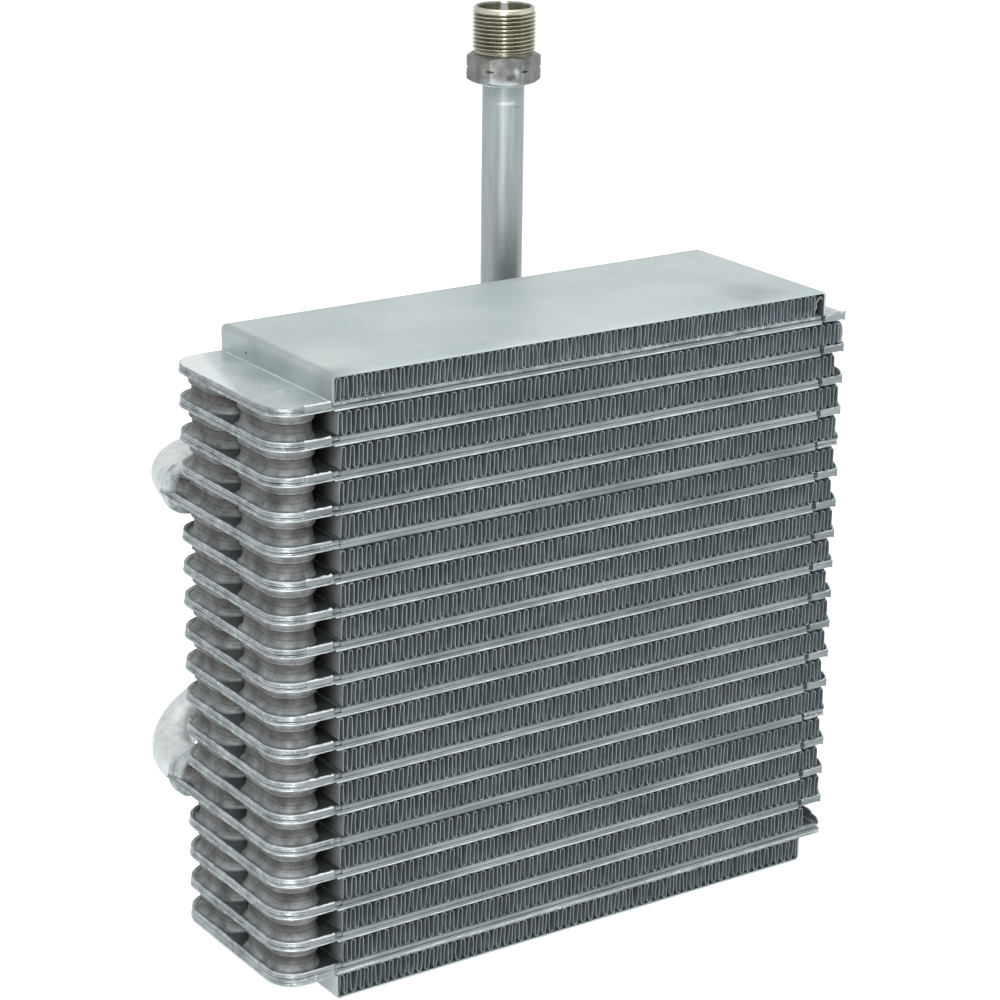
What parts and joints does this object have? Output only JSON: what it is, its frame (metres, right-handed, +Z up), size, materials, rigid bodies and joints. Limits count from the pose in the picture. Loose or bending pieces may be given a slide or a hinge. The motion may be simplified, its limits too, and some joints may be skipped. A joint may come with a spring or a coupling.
{
  "type": "evaporator core",
  "caption": "Brazed evaporator core of flat stamped plates with corrugated fins between them, cup tanks at one end, a pipe stub and a riser with a threaded fitting.",
  "frame": {"origin": "middle of the bottom cover's underside in X and Y, on the surface it rests on", "axes": "+X along the fins away from the tanks, +Y from the front face to the back where the pipes are, +Z up the stack along the riser"},
  "size_m": [0.2438, 0.1285, 0.3258],
  "materials": {
    "cover": "satin, pale grey with faint smudges",
    "plate": "satin mid grey with bright edges, browner on the cups",
    "fin": "dark blue-grey with light edges",
    "pipe": "satin drawn pipe with fine streaks along it",
    "fitting": "machined, nicked, with a yellowish thread"
  },
  "bodies": {
    "root": {"top_end_plate": "cover", "plate_02_upper": "plate", "plate_03_upper": "plate", "plate_04_upper": "plate", "plate_05_upper": "plate", "plate_06_upper": "plate", "plate_07_upper": "plate", "plate_08_upper": "plate", "plate_09_upper": "plate", "plate_10_upper": "plate", "plate_11_upper": "plate", "plate_12_upper": "plate", "plate_13_upper": "plate", "plate_14_upper": "plate", "plate_15_upper": "plate", "plate_16_upper": "plate", "plate_17_upper": "plate", "plate_18_upper": "plate", "plate_01_lower": "plate", "plate_02_lower": "plate", "plate_03_lower": "plate", "plate_04_lower": "plate", "plate_05_lower": "plate", "plate_06_lower": "plate", "plate_07_lower": "plate", "plate_08_lower": "plate", "plate_09_lower": "plate", "plate_10_lower": "plate", "plate_11_lower": "plate", "plate_12_lower": "plate", "plate_13_lower": "plate", "plate_14_lower": "plate", "plate_15_lower": "plate", "plate_16_lower": "plate", "plate_17_lower": "plate", "bottom_end_plate": "plate", "fins_01": "fin", "fins_02": "fin", "fins_03": "fin", "fins_04": "fin", "fins_05": "fin", "fins_06": "fin", "fins_07": "fin", "fins_08": "fin", "fins_09": "fin", "fins_10": "fin", "fins_11": "fin", "fins_12": "fin", "fins_13": "fin", "fins_14": "fin", "fins_15": "fin", "fins_16": "fin", "fins_17": "fin", "fins_18": "fin", "fins_19": "fin", "top_cover": "cover", "bottom_cover": "cover", "inlet_pipe": "pipe", "outlet_pipe": "pipe", "outlet_fitting": "fitting"}
  },
  "joints": []
}
